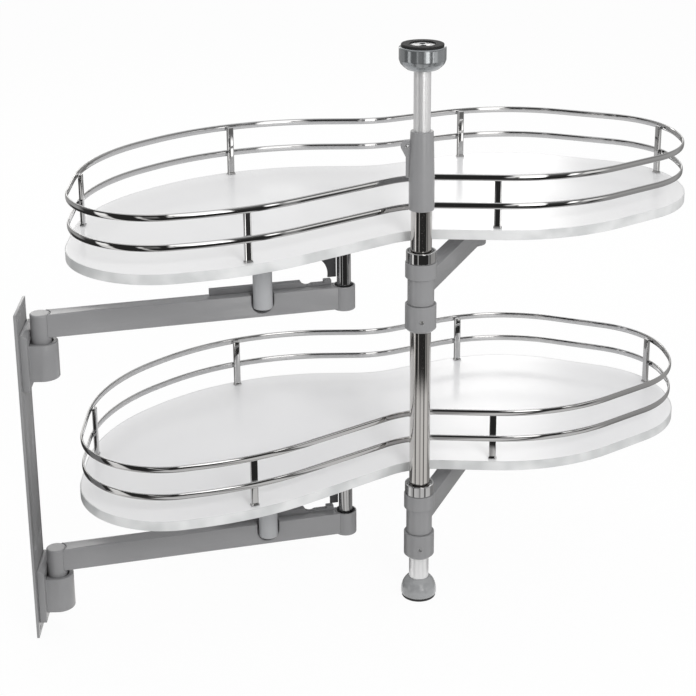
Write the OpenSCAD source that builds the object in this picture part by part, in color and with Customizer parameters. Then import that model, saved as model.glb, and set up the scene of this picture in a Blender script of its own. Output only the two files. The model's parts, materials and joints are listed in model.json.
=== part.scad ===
// Swing-out corner carousel fitting: two kidney-shaped trays on a telescopic column, each steered by an arm
// on the column and an arm on a wall plate. Millimetres. The column stands on the cabinet floor at the
// origin, +Z is up, +X runs along the cabinet's front, away from the wall plate, and the trays swing out
// towards -Y.

/* [Trays] */
// Width of a tray board
tray_w = 760; // [680:4:840]
// Depth of a tray board
tray_d = 488; // [440:1:540]
// Height of the lower tray's top face above the cabinet floor
lower_tray_z = 172; // [166:1:200]
// Distance from the lower tray's top face to the upper one's
tray_spacing = 300; // [270:1:330]
// Thickness of a board
board_t = 12; // [10:0.5:16]
// Thickness of the band glued round the board's edge
band_t = 1.2; // [0.6:0.1:2]

/* [Rails] */
// Height of the top rail's upper edge above the board
rail_top = 67; // [55:1:80]
// Distance from the top rail's upper edge down to the tops of the posts
post_drop = 3; // [2:0.5:5]
// Width of a post along the rail
post_w = 8.5; // [7:0.5:11]
// Thickness of a post across the rail
post_t = 5; // [4.5:0.5:7]
// Rim that the foot of a post adds all round
post_foot_rim = 1; // [0.5:0.5:2]
// Height of that foot
post_foot_h = 2; // [1:0.5:3]
// Gap between a post and the rails, which the welds fill
weld_gap = 0.1; // [0.1:0.05:0.3]
// Thickness of the rail strip
rail_t = 3; // [2:0.5:4]
// Height of the rail strip
rail_h = 8; // [6:0.5:10]
// Distance from the board's edge to the outer face of the rails
rail_inset = 4; // [3:0.5:6]
// Height of the middle rail's centre above the board
mid_rail_z = 28.5; // [22:0.5:34]
// Diameter of the screws that hold the posts
post_screw_d = 3; // [2.5:0.5:3.5]

/* [Column] */
// Overall height of the column, set to the inside of the cabinet
column_h = 700; // [680:1:745]
// Outer diameter of the column tube
tube_d = 25; // [22:0.5:28]
// Wall of the column tube
tube_wall = 1.5; // [1:0.1:2]
// Radial gap between the inner tube and the column tube's bore
telescope_gap = 1.1; // [0.5:0.1:2]
// Wall of the inner tube
inner_tube_wall = 1.5; // [1:0.1:2.5]
// Length of the inner tube inside the column tube
telescope_overlap = 85; // [60:5:120]
// Height of the clamp sleeve's lower end above the upper tray
sleeve_rise = 33; // [30:1:45]
// Length of the clamp sleeve
sleeve_l = 94; // [80:1:100]
// Wall of the clamp sleeve at its lower end
sleeve_wall = 2.5; // [2:0.1:3]
// Diameter of the foot cup
foot_d = 44; // [40:1:50]
// Height of the foot cup
foot_h = 24; // [20:1:28]
// Thickness of the rubber soles at both ends of the column
sole_t = 3; // [2:0.5:4]
// Diameter of the top cup
cup_d = 54; // [50:1:60]
// Height of the top cup
cup_h = 27; // [24:1:32]
// Diameter of the silver disc in the top cup
disc_d = 29; // [26:1:32]

/* [Column arms] */
// Distance from the column's axis to the hidden pivot under the tray
column_arm_l = 208; // [196:1:214]
// Direction of the column arm at rest, measured from +X
column_arm_angle = 67; // [60:1:72]
// Width of the column arm's bar
column_bar_w = 20; // [16:1:24]
// Height of the column arm's bar
column_bar_h = 27; // [22:1:29]
// Wall of the hub's neck round its bush
hub_wall = 1.65; // [1.2:0.05:3]
// Wall of the bush in the hub
hub_bush_wall = 1.7; // [1.2:0.1:2.5]
// Wall of the set collar and of the hub's head ring, measured from the column tube
collar_wall = 6.2; // [5.8:0.1:8]
// Height of the hub's head ring
hub_head_h = 19; // [16:0.5:20]
// Height of the hub's neck
hub_neck_h = 33; // [33:0.5:36]
// Height of the set collar under the hub
collar_h = 33; // [26:0.5:34]
// Height of the chromed ring on top of the hub
stop_ring_h = 13.5; // [8:0.5:14]
// Wall of the chromed ring
stop_ring_wall = 5.3; // [4:0.1:6.2]
// Diameter of the pivot pin at the end of the column arm
pivot_pin_d = 12; // [10:0.5:13]
// Radius of the circle in which that pin wanders in its housing
pivot_wander = 10.4; // [10.3:0.1:11]

/* [Wall arms] */
// Distance from the tray's left edge to the hinge axis at the wall plate
hinge_gap = 29; // [26:1:40]
// Y of the hinge axis at the wall plate
hinge_y = -47; // [-60:1:-40]
// X of the pin that carries the tray
tray_pin_x = -90; // [-100:1:-80]
// Y of the pin that carries the tray
tray_pin_y = 34; // [24:1:44]
// Width of the wall arm's bar
wall_bar_w = 20; // [18:0.5:22]
// Height of the wall arm's bar
wall_bar_h = 28; // [24:1:30]
// Distance from the tray's top face down to the top of the wall arm
wall_arm_drop = 70; // [66:1:72]
// Diameter of the arm's hinge barrel
barrel_d = 23.5; // [22:0.5:25]
// Diameter of the arm's end knuckle
knuckle_d = 27; // [25:0.5:30]
// Diameter of the chromed tray pin
tray_pin_d = 17; // [14:0.5:18]
// Diameter of the pin's spigot in the knuckle
tray_spigot_d = 12; // [10:0.5:12]
// Diameter of the hinge spigot in the bracket's boss
hinge_spigot_d = 14; // [12:0.5:15]
// Diameter of the stop post under the tray
stop_post_d = 23; // [20:0.5:24]
// Distance along the arm from the tray pin to the stop post
stop_post_run = 101; // [80:1:130]
// Length of the damper housing
damper_l = 112; // [100:1:130]
// Height of the damper housing
damper_h = 7; // [5:0.5:8]

/* [Wall plate] */
// Thickness of the wall plate
plate_t = 3; // [2.5:0.5:4]
// Width of the wall plate
plate_w = 66; // [60:1:72]
// Height of the wall plate above the upper bracket block
plate_head = 28; // [18:1:30]
// Distance from the hinge axis to the wall plate's rear edge
plate_rear = 25; // [22:1:30]
// Height of the wall plate's lower edge above the floor
plate_z = 3; // [1:1:8]
// Diameter of the screw holes in the wall plate
plate_hole_d = 5.5; // [4.5:0.5:6.5]
// Inset of the fixing holes from the plate's upper and lower edges
plate_hole_inset_z = 8; // [6:1:10]
// Inset of the fixing holes from the plate's front and rear edges
plate_hole_inset_y = 12; // [9:1:16]
// Height of the pair of holes above the lower bracket block
low_pair_rise = 32; // [20:1:60]
// Depth of the single hole below the upper bracket block
high_hole_drop = 45; // [20:1:60]
// Thickness of the bracket block on the plate
block_t = 8; // [6:0.5:10]
// Distance from the plate's front edge to the bracket block
block_inset = 11; // [6:1:16]
// Distance from the block's ends to its screws
block_screw_inset = 9; // [8:0.5:14]
// Height of the bracket block
block_h = 69; // [60:1:72]
// Height of the bracket's round boss
boss_h = 44; // [38:1:48]
// Wall of the boss round the barrel's recess
boss_wall = 5.3; // [4:0.1:6.5]

/* [Fits] */
// Radial clearance of a pin or tube that turns or slides
run_fit = 0.05; // [0.02:0.01:0.1]
// Radial clearance of a part pressed or screwed in place
press_fit = 0.02; // [0.01:0.01:0.05]
// Free gap between moving bodies
free_gap = 0.3; // [0.3:0.1:0.6]
// Diameter of the small screws
small_screw_d = 5; // [4:0.5:6]

/* [Hidden] */

$fn = 96;
upper_tray_z = lower_tray_z + tray_spacing;
LEVELS = [lower_tray_z, upper_tray_z];

// Kidney outline of a tray at its nominal size: corner points with the radius of the arc that rounds each
nominal_w = 760;
nominal_d = 488;
CORNERS = [[-411, -152, 110], [-190, -99, 350], [-9, 27, 90], [176, 9, 225], [354, 134, 121],
    [345, 288, 120], [131, 385, 200], [-42, 307, 120], [-238, 311, 300], [-409, 136, 245]];
outline_left = -410;
stretch = [tray_w / nominal_w, tray_d / nominal_d];
stretch_r = min(stretch[0], stretch[1]);

// Places near which the posts stand, moved on to the line that the rails leave free for them
POST_TARGETS = [[-405, 60], [-232, 273], [-197, -89], [76, 351], [92, 24], [328, 256]];

// Levels below a tray's top face
carrier_t = 4;
stop_ring_top = board_t + carrier_t + 1;
hub_top = stop_ring_top + stop_ring_h + free_gap;
hub_neck_top = hub_top + hub_head_h;
hub_bottom = hub_neck_top + hub_neck_h;
collar_top = hub_bottom + free_gap;
column_bar_top = hub_neck_top - 4;
wall_bar_bottom = wall_arm_drop + wall_bar_h;
knuckle_bottom = wall_bar_bottom + 2;
boss_top = wall_arm_drop + 34;
boss_bottom = boss_top + boss_h;
block_top = boss_top - 18;
stop_post_bottom = wall_arm_drop + 16;
stop_pocket_r = stop_post_d / 2 + 2;
stop_pocket_depth = stop_post_d / 2 + 1.5;
recess_depth = 8;
bush_wall = 2;
flange_t = 1.5;
barrel_bottom = boss_top + recess_depth - flange_t - free_gap;

// Diameters that follow the column tube
inner_tube_d = tube_d - 2 * tube_wall - 2 * telescope_gap;
hub_neck_d = tube_d + 2 * (hub_bush_wall + hub_wall);
collar_d = tube_d + 2 * collar_wall;
stop_ring_d = tube_d + 2 * stop_ring_wall;

// Column levels above the floor
stem_bottom = sole_t + foot_h;
tube_bottom = lower_tray_z - collar_top - collar_h + 2;
sleeve_bottom = upper_tray_z + sleeve_rise;
tube_top = sleeve_bottom + 55;
sleeve_top = sleeve_bottom + sleeve_l;
cup_top = column_h - sole_t;
cup_bottom = cup_top - cup_h;

// Plan positions
hinge = [outline_left * stretch[0] - hinge_gap, hinge_y];
tray_pin = [tray_pin_x, tray_pin_y];
arm_run = tray_pin - hinge;
arm_angle = atan2(arm_run[1], arm_run[0]);
arm_l = norm(arm_run);
pivot = column_arm_l * [cos(column_arm_angle), sin(column_arm_angle)];
pivot_shift = [-10.2, -1.3];
housing = pivot + pivot_shift;
stop_post = tray_pin - stop_post_run * unit(arm_run) + wall_bar_w / 2 * [sin(arm_angle), -cos(arm_angle)];
boss_r = barrel_d / 2 + 1.7 + boss_wall;
plate_x = hinge[0] - boss_r - 1;
plate_y = hinge_y + plate_rear - plate_w;
plate_top = upper_tray_z - block_top + plate_head;
plate_h = plate_top - plate_z;
block_y = plate_y + block_inset;
block_w = plate_w - block_inset;

grey = [0.55, 0.55, 0.56];
light_grey = [0.66, 0.67, 0.68];
blue_grey = [0.42, 0.44, 0.48];
chrome = [0.85, 0.85, 0.86];
satin = [0.74, 0.75, 0.77];
rubber = [0.09, 0.09, 0.10];
white = [0.95, 0.95, 0.95];
edge_grey = [0.87, 0.88, 0.88];
plastic = [0.16, 0.16, 0.17];
damper_grey = [0.36, 0.36, 0.38];

function unit(v) = v / norm(v);
function cross2(a, b) = a[0] * b[1] - a[1] * b[0];

// Points of the arc of radius r that rounds corner p between its neighbours a and b, moved inwards by inset
function corner_arc(a, p, b, r, inset) =
    let (u = unit(a - p), v = unit(b - p), half = acos(u * v) / 2, side = sign(cross2(p - a, b - p)),
        centre = p + unit(u + v) * r / sin(half), start = p + u * r / tan(half) - centre,
        rr = r - side * inset, from = atan2(start[1], start[0]), sweep = side * (180 - 2 * half),
        steps = max(2, ceil(abs(sweep) / 7)))
    [for (k = [0:steps]) centre + rr * [cos(from + sweep * k / steps), sin(from + sweep * k / steps)]];
function corner(i) = let (c = CORNERS[i % len(CORNERS)]) [c[0] * stretch[0], c[1] * stretch[1]];
function outline(inset) =
    [for (i = [0:len(CORNERS) - 1])
        let (before = corner(i + len(CORNERS) - 1), after = corner(i + 1), r = CORNERS[i][2] * stretch_r)
        each corner_arc(before, corner(i), after, r, inset)];

// Point of the closed path nearest to p, with the direction of the path there
function foot_on(a, b, p) = let (t = (p - a) * (b - a) / ((b - a) * (b - a))) a + min(1, max(0, t)) * (b - a);
function nearest(path, p) =
    let (feet = [for (i = [0:len(path) - 1]) foot_on(path[i], path[(i + 1) % len(path)], p)],
        gaps = [for (q = feet) norm(q - p)], least = min(gaps),
        i = [for (k = [0:len(feet) - 1]) if (gaps[k] == least) k][0], run = path[(i + 1) % len(path)] - path[i])
    [feet[i][0], feet[i][1], atan2(run[1], run[0])];
post_line = outline(rail_inset + rail_t + post_t / 2 + weld_gap);
POSTS = [for (p = POST_TARGETS) nearest(post_line, [p[0] * stretch[0], p[1] * stretch[1]])];

// Flat bar with round ends between two points
module capsule(a, b, w) {
    step_in = 0.4;
    translate(a)
        circle(d = w);
    translate(b)
        circle(d = w);
    translate(a)
        rotate(atan2(b[1] - a[1], b[0] - a[0]))
            translate([0, -w / 2 + step_in])
                square([norm(b - a), w - 2 * step_in]);
}

// Plain tube between two levels
module tube(z0, z1, outer_d, bore_d) {
    translate([0, 0, z0])
        difference() {
            cylinder(h = z1 - z0, d = outer_d);
            translate([0, 0, -1])
                cylinder(h = z1 - z0 + 2, d = bore_d);
        }
}

// Flanged bush for a pin: its sleeve reaches from z0 to z1 and its flange lies on top
module bush(z0, z1, pin_d, flange_d) {
    bore_d = pin_d + 2 * run_fit;
    tube(z0, z1, pin_d + 2 * bush_wall, bore_d);
    tube(z1, z1 + flange_t, flange_d, bore_d);
}

// Moves a child from the tray pin's frame, x towards the wall hinge, to its place under the tray at tray_z
module along_arm(tray_z) {
    translate([tray_pin[0], tray_pin[1], tray_z])
        rotate(arm_angle + 180)
            children();
}

/* ---- wall plate and hinge brackets ---- */

// Y and Z of the plate's fixing holes: a row along the upper edge, pairs at the lower edge and above the
// lower bracket, and one hole under the upper bracket
function fixing_holes() =
    let (y0 = plate_y + plate_hole_inset_y, y1 = plate_y + plate_w - plate_hole_inset_y,
        z0 = plate_z + plate_hole_inset_z, z1 = plate_top - plate_hole_inset_z,
        low_z = lower_tray_z - block_top + low_pair_rise,
        high_z = upper_tray_z - block_top - block_h - high_hole_drop)
    [[y0, z0], [y1, z0], [y0, z1], [(y0 + y1) / 2, z1], [y1, z1], [y0, low_z], [y1, low_z], [y1, high_z]];

// Y and Z of the two screws behind each bracket block
function bracket_screw_places(tray_z) =
    [for (y = [block_screw_inset, block_w - block_screw_inset])
        [block_y + y, tray_z - block_top - block_h / 2]];

module wall_plate() {
    color(grey)
        difference() {
            translate([plate_x - plate_t, plate_y, plate_z])
                cube([plate_t, plate_w, plate_h]);
            for (h = fixing_holes())
                translate([plate_x - plate_t - 1, h[0], h[1]])
                    rotate([0, 90, 0])
                        cylinder(h = plate_t + 2, d = plate_hole_d, $fn = 48);
            for (z = LEVELS, s = bracket_screw_places(z))
                translate([plate_x - plate_t - 0.01, s[0], s[1]])
                    rotate([0, 90, 0])
                        countersink(2 * press_fit);
        }
}

// Countersunk screw shape along +Z, wider by extra in diameter where it is a hole
module countersink(extra) {
    cylinder(h = 2.6, d1 = small_screw_d + 5.2 + extra, d2 = small_screw_d + extra, $fn = 48);
    cylinder(h = plate_t + block_t - 1.5, d = small_screw_d + extra, $fn = 48);
}

module bracket_screws() {
    color(satin)
        for (z = LEVELS, s = bracket_screw_places(z))
            translate([plate_x - plate_t, s[0], s[1]])
                rotate([0, 90, 0])
                    countersink(0);
}

module hinge_bracket(tray_z) {
    color(grey)
        difference() {
            union() {
                bracket_block(tray_z);
                translate([0, 0, tray_z - boss_bottom])
                    linear_extrude(boss_h) {
                        translate(hinge)
                            circle(r = boss_r);
                        translate([plate_x + block_t - 1, hinge_y - boss_r])
                            square([hinge[0] - plate_x - block_t + 1, 2 * boss_r]);
                    }
            }
            translate([hinge[0], hinge[1], tray_z - boss_top - recess_depth])
                cylinder(h = recess_depth + 1, r = boss_r - boss_wall);
            translate([hinge[0], hinge[1], tray_z - boss_bottom - 1])
                cylinder(h = boss_h, d = hinge_spigot_d + 2 * bush_wall + 2 * press_fit);
            for (s = bracket_screw_places(tray_z))
                translate([plate_x - plate_t, s[0], s[1]])
                    rotate([0, 90, 0])
                        cylinder(h = plate_t + block_t - 1, d = small_screw_d + 2 * press_fit, $fn = 48);
        }
}

// Block against the plate, its upper front edge bevelled
module bracket_block(tray_z) {
    translate([0, block_y + block_w, tray_z - block_top - block_h])
        rotate([90, 0, 0])
            linear_extrude(block_w)
                polygon([[plate_x, 0], [plate_x + block_t, 0], [plate_x + block_t, block_h - 5],
                    [plate_x + block_t - 5, block_h], [plate_x, block_h]]);
}

module hinge_bushes() {
    color(plastic)
        for (z = LEVELS)
            translate([hinge[0], hinge[1], 0]) {
                bush(z - boss_bottom + 1, z - boss_top - recess_depth, hinge_spigot_d, barrel_d);
            }
}

/* ---- wall arm ---- */

module wall_barrel(tray_z) {
    r = barrel_d / 2;
    l = barrel_bottom - wall_arm_drop;
    color(grey)
        translate([hinge[0], hinge[1], tray_z]) {
            translate([0, 0, -barrel_bottom])
                rotate_extrude()
                    polygon([[0, 0], [r, 0], [r, l - 2.2], [r - 0.7, l - 0.8], [r - 2.4, l], [0, l]]);
            translate([0, 0, -boss_bottom + 2])
                cylinder(h = boss_bottom - 2 - barrel_bottom + 1, d = hinge_spigot_d);
        }
}

module wall_bar(tray_z) {
    color(grey)
        difference() {
            along_arm(tray_z)
                translate([0, -wall_bar_w / 2, -wall_bar_bottom])
                    cube([arm_l, wall_bar_w, wall_bar_h]);
            translate([hinge[0], hinge[1], tray_z - wall_bar_bottom - 1])
                cylinder(h = wall_bar_h + 2, d = barrel_d + 2 * press_fit);
            translate([tray_pin[0], tray_pin[1], tray_z - wall_bar_bottom - 1])
                cylinder(h = wall_bar_h + 2, d = knuckle_d + 2 * press_fit);
            along_arm(tray_z)
                stop_pocket();
        }
}

// Pocket with a round lower end in the front face of the bar, where the stop post comes to rest
module stop_pocket() {
    round_z = -stop_post_bottom + stop_pocket_r * 0.45;
    translate([stop_post_run, wall_bar_w / 2 - stop_pocket_depth, round_z])
        rotate([-90, 0, 0]) {
            cylinder(h = stop_pocket_depth + 1, r = stop_pocket_r);
            translate([-stop_pocket_r, -wall_bar_h, 0])
                cube([2 * stop_pocket_r, wall_bar_h, stop_pocket_depth + 1]);
        }
}

module wall_knuckle(tray_z) {
    color(grey)
        translate([tray_pin[0], tray_pin[1], tray_z])
            difference() {
                tube(-knuckle_bottom, -wall_arm_drop, knuckle_d, tray_spigot_d + 2 * (bush_wall + press_fit));
                translate([0, 0, -wall_arm_drop - 2 - flange_t])
                    cylinder(h = 4, d = knuckle_d - 4);
            }
}

module knuckle_bush(tray_z) {
    color(plastic)
        translate([tray_pin[0], tray_pin[1], tray_z])
            bush(-knuckle_bottom + 1, -wall_arm_drop - 2 - flange_t, tray_spigot_d, knuckle_d - 5);
}

// Soft-close housing on the rear half of the bar, with a round notch and a hook towards the tray pin
module damper(tray_z) {
    hook_x = knuckle_d / 2 + 1;
    housing_x = hook_x + 35;
    color(damper_grey)
        along_arm(tray_z)
            translate([0, -wall_bar_w / 2 - 1, -wall_arm_drop])
                rotate([90, 0, 0])
                    mirror([0, 0, 1])
                        linear_extrude(wall_bar_w + 1 - stop_pocket_depth)
                            difference() {
                                union() {
                                    translate([housing_x, 0])
                                        square([damper_l, damper_h]);
                                    translate([hook_x, 0])
                                        square([40, 2.5]);
                                    translate([hook_x, 0])
                                        square([9, damper_h - 1]);
                                }
                                translate([housing_x - 6, 10])
                                    circle(r = 9);
                            }
}

/* ---- column ---- */

module foot_pad() {
    color(rubber)
        cylinder(h = sole_t, d = foot_d - 2);
}

module foot_cup() {
    neck_r = tube_d / 2 + 2;
    shoulder = foot_h * 0.55;
    color(blue_grey)
        translate([0, 0, sole_t])
            rotate_extrude()
                difference() {
                    union() {
                        square([foot_d / 2 - 1.5, 3]);
                        translate([0, 1.5])
                            square([foot_d / 2, 4]);
                        translate([0, 5.5])
                            intersection() {
                                circle(r = foot_d / 2);
                                square([foot_d / 2, foot_h - 5.5]);
                            }
                    }
                    translate([0, foot_h - shoulder])
                        square([tube_d / 2 - 0.3 + press_fit, foot_h]);
                    translate([neck_r + 1, foot_h])
                        circle(r = 1);
                }
}

module foot_stem() {
    shoulder = foot_h * 0.55;
    color(satin) {
        tube(stem_bottom - shoulder, tube_bottom, tube_d - 0.6, 8);
        tube(tube_bottom, tube_bottom + 35, tube_d - 2 * tube_wall - 2 * press_fit, 8);
    }
}

module column_tube() {
    color(chrome)
        tube(tube_bottom, tube_top, tube_d, tube_d - 2 * tube_wall);
}

module set_collar(tray_z) {
    r = collar_d / 2;
    z1 = tray_z - collar_top;
    color(grey)
        difference() {
            translate([0, 0, z1 - collar_h])
                rotate_extrude()
                    polygon([[tube_d / 2 + press_fit, 0], [r - 3, 0], [r, 3], [r, collar_h - 0.6],
                        [r - 0.6, collar_h], [tube_d / 2 + press_fit, collar_h]]);
            translate([0, 0, z1 - collar_h * 0.55])
                rotate([90, 0, 0])
                    cylinder(h = collar_d, d = small_screw_d + 2 * press_fit, $fn = 48);
        }
}

module grub_screws() {
    color(satin)
        for (z = LEVELS)
            translate([0, -tube_d / 2 - press_fit, z - collar_top - collar_h * 0.55])
                rotate([90, 0, 0])
                    difference() {
                        cylinder(h = (collar_d - tube_d) / 2 - 1, d = small_screw_d, $fn = 48);
                        translate([0, 0, 2.5])
                            cylinder(h = collar_d, d = small_screw_d / 2, $fn = 6);
                    }
}

module stop_ring(tray_z) {
    r = stop_ring_d / 2;
    bore = tube_d / 2 + press_fit;
    edge = 0.8;
    lip = 2.2;
    recess = 3;
    color(chrome)
        translate([0, 0, tray_z - stop_ring_top - stop_ring_h])
            rotate_extrude()
                polygon([[bore, 0], [r - edge, 0], [r, edge], [r, stop_ring_h - edge],
                    [r - edge, stop_ring_h], [r - lip, stop_ring_h], [r - lip, stop_ring_h - recess],
                    [bore, stop_ring_h - recess]]);
}

// Bore of the sleeve takes the column tube below and the inner tube above; an ear holds the clamp screw
module clamp_sleeve() {
    low_r = tube_d / 2 + sleeve_wall;
    top_r = inner_tube_d / 2 + 3.4;
    color(grey)
        difference() {
            union() {
                translate([0, 0, sleeve_bottom])
                    rotate_extrude()
                        polygon([[0, 0], [low_r - 1.6, 0], [low_r, 2.4], [low_r, 30],
                            [low_r - 0.5, sleeve_l * 0.6], [top_r, sleeve_l - 1.5], [top_r - 1, sleeve_l],
                            [0, sleeve_l]]);
                translate([0, 2, sleeve_top - 18])
                    rotate([90, 0, 0])
                        linear_extrude(4) {
                            translate([-low_r - 2.5, 0])
                                circle(r = 7, $fn = 64);
                            translate([-low_r - 2.5, -7])
                                square([low_r - 4, 14]);
                            translate([-low_r - 3.5, -sleeve_l * 0.4])
                                square([10, sleeve_l * 0.4]);
                        }
            }
            translate([0, 0, sleeve_bottom - 1])
                cylinder(h = tube_top - sleeve_bottom + 1, r = tube_d / 2 + press_fit);
            cylinder(h = column_h, r = inner_tube_d / 2 + run_fit);
            translate([-low_r - 3.5, 10, sleeve_top - 18])
                rotate([90, 0, 0])
                    cylinder(h = 20, d = 4 + 2 * press_fit, $fn = 48);
        }
}

module clamp_screw() {
    color(satin)
        translate([-tube_d / 2 - sleeve_wall - 3.5, 2, sleeve_top - 18])
            rotate([90, 0, 0])
                difference() {
                    translate([0, 0, 0.3])
                        cylinder(h = 3.4, d = 4, $fn = 48);
                    translate([0, 0, 2.5])
                        cylinder(h = 3, d = 2, $fn = 6);
                }
}

module inner_tube() {
    color(satin)
        tube(tube_top - telescope_overlap, cup_bottom + 14, inner_tube_d, inner_tube_d - 2 * inner_tube_wall);
}

module top_cup() {
    r = cup_d / 2;
    neck_r = inner_tube_d / 2 + 4;
    color(blue_grey)
        translate([0, 0, cup_bottom])
            rotate_extrude()
                difference() {
                    polygon([[0, 0], [neck_r, 0], [neck_r + 4, 0.8], [r - 5, 4], [r - 1.6, 7.5], [r, 12],
                        [r, cup_h - 1.5], [r - 1.5, cup_h], [0, cup_h]]);
                    translate([0, -1])
                        square([inner_tube_d / 2 + press_fit, 15]);
                    translate([0, cup_h - 8])
                        square([disc_d / 2 + press_fit, 9]);
                }
}

module top_pad() {
    color(rubber)
        translate([0, 0, cup_top])
            rotate_extrude()
                polygon([[disc_d / 2 + 0.4, 0], [cup_d / 2 - 0.8, 0], [cup_d / 2 - 0.8, sole_t - 1],
                    [cup_d / 2 - 2, sole_t], [disc_d / 2 + 0.4, sole_t]]);
}

module top_disc() {
    color(satin)
        translate([0, 0, cup_top - 8])
            difference() {
                cylinder(h = 9.5, d = disc_d);
                for (y = [-6, 6])
                    translate([0, y, -1])
                        cylinder(h = 12, d = 7, $fn = 48);
                for (x = [-disc_d / 2, disc_d / 2])
                    translate([x, 0, 8])
                        cube([5, 2.5, 4], center = true);
            }
}

/* ---- column arm ---- */

module column_hub(tray_z) {
    bore = tube_d / 2 + hub_bush_wall;
    neck_r = hub_neck_d / 2;
    r = collar_d / 2;
    top = hub_neck_h + hub_head_h;
    color(grey)
        translate([0, 0, tray_z - hub_bottom])
            rotate_extrude()
                polygon([[bore, 0], [neck_r - 0.5, 0], [neck_r, 0.5], [neck_r, hub_neck_h - 1.2],
                    [r - 0.6, hub_neck_h], [r, hub_neck_h + 0.6], [r, top - 0.8], [r - 0.8, top],
                    [bore, top]]);
}

module hub_bush(tray_z) {
    color(plastic)
        tube(tray_z - hub_bottom + 0.5, tray_z - hub_top - 0.5,
            tube_d + 2 * (hub_bush_wall - press_fit), tube_d + 2 * run_fit);
}

module column_bar(tray_z) {
    color(grey)
        difference() {
            translate([0, 0, tray_z - column_bar_top - column_bar_h])
                linear_extrude(column_bar_h)
                    difference() {
                        union() {
                            rotate(column_arm_angle)
                                translate([0, -column_bar_w / 2])
                                    square([column_arm_l, column_bar_w]);
                            translate(pivot)
                                circle(d = column_bar_w + 12);
                        }
                        translate(pivot)
                            circle(d = pivot_pin_d + 2 * press_fit);
                        circle(d = hub_neck_d + 2 * press_fit);
                    }
            translate([0, 0, tray_z - hub_neck_top - 1.2])
                cylinder(h = hub_head_h, d = collar_d + 2 * press_fit);
        }
}

// Pin riveted through the end of the bar, with a wide flange that the tray's housing rests on
module pivot_pin(tray_z) {
    top = tray_z - board_t - carrier_t - 2;
    bar_top = tray_z - column_bar_top;
    color(satin)
        translate([pivot[0], pivot[1], 0]) {
            translate([0, 0, bar_top - column_bar_h - 1.5])
                cylinder(h = top - bar_top + column_bar_h + 1.5, d = pivot_pin_d);
            translate([0, 0, bar_top - column_bar_h - 3])
                cylinder(h = 3, d = pivot_pin_d + 5);
            translate([0, 0, bar_top])
                cylinder(h = 3, d = pivot_pin_d + 4 * pivot_wander - 4);
        }
}

/* ---- tray ---- */

module board(tray_z) {
    color(white)
        difference() {
            translate([0, 0, tray_z - board_t])
                linear_extrude(board_t)
                    polygon(outline(band_t));
            for (p = POSTS)
                translate([p[0], p[1], tray_z - board_t - 1])
                    cylinder(h = board_t + 2, d = post_screw_d + 0.4, $fn = 32);
        }
}

module edge_band(tray_z) {
    color(edge_grey)
        translate([0, 0, tray_z - board_t])
            linear_extrude(board_t)
                difference() {
                    polygon(outline(0));
                    polygon(outline(band_t));
                }
}

module rail(z) {
    color(chrome)
        translate([0, 0, z])
            linear_extrude(rail_h)
                difference() {
                    polygon(outline(rail_inset));
                    polygon(outline(rail_inset + rail_t));
                }
}

// Flat bar with bevelled edges, its width along X, between two levels
module flat_post(z0, z1, w, t) {
    edge = t / 4;
    translate([0, 0, z0])
        linear_extrude(z1 - z0)
            polygon([[w / 2, -t / 2 + edge], [w / 2, t / 2 - edge], [w / 2 - edge, t / 2], [edge - w / 2, t / 2],
                [-w / 2, t / 2 - edge], [-w / 2, -t / 2 + edge], [edge - w / 2, -t / 2], [w / 2 - edge, -t / 2]]);
}

module posts(tray_z) {
    color(chrome)
        for (p = POSTS)
            translate([p[0], p[1], tray_z])
                rotate(p[2])
                    difference() {
                        union() {
                            flat_post(0, rail_top - post_drop, post_w, post_t);
                            flat_post(0, post_foot_h, post_w + 2 * post_foot_rim, post_t + 2 * post_foot_rim);
                        }
                        translate([0, 0, -1])
                            cylinder(h = 16, d = post_screw_d + 2 * press_fit, $fn = 32);
                    }
}

module post_screws(tray_z) {
    color(satin)
        for (p = POSTS)
            translate([p[0], p[1], tray_z - board_t]) {
                cylinder(h = board_t + 12, d = post_screw_d, $fn = 32);
                translate([0, 0, -2.4])
                    cylinder(h = 2.4, d1 = 2 * post_screw_d - 2, d2 = 2 * post_screw_d, $fn = 32);
            }
}

// Pressed plate under the board that joins the tray pin, the stop post and the pivot housing
module carrier_plate(tray_z) {
    color(grey)
        translate([0, 0, tray_z - board_t - carrier_t])
            linear_extrude(carrier_t)
                difference() {
                    union() {
                        capsule(stop_post, tray_pin, 44);
                        capsule(tray_pin, housing, 56);
                    }
                    translate((tray_pin + housing) / 2)
                        circle(d = 30);
                }
}

module tray_pin(tray_z) {
    color(chrome)
        translate([tray_pin[0], tray_pin[1], tray_z]) {
            translate([0, 0, -wall_arm_drop - 2 + free_gap])
                cylinder(h = wall_arm_drop + 2 - free_gap - board_t - carrier_t, d = tray_pin_d);
            translate([0, 0, -knuckle_bottom + 1])
                cylinder(h = knuckle_bottom - wall_arm_drop, d = tray_spigot_d);
        }
}

module stop_post(tray_z) {
    top = -board_t - carrier_t;
    color(light_grey)
        translate([stop_post[0], stop_post[1], tray_z])
            rotate_extrude()
                polygon([[0, -stop_post_bottom], [stop_post_d / 2 - 0.8, -stop_post_bottom],
                    [stop_post_d / 2, -stop_post_bottom + 0.8], [stop_post_d / 2, top - 4],
                    [stop_post_d / 2 + 3, top], [0, top]]);
}

// Upright plate beside the tray pin, cut away by an arc, that the damper's hook meets when the tray closes
module catch_bracket(tray_z) {
    top = -board_t - carrier_t;
    bottom = -wall_arm_drop + damper_h + 2;
    color(damper_grey)
        along_arm(tray_z)
            translate([tray_pin_d / 2 + press_fit, -4, 0])
                rotate([90, 0, 0])
                    linear_extrude(3)
                        difference() {
                            translate([0, bottom])
                                square([30, top - bottom]);
                            translate([34, bottom + 4])
                                circle(r = 24);
                        }
}

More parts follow.
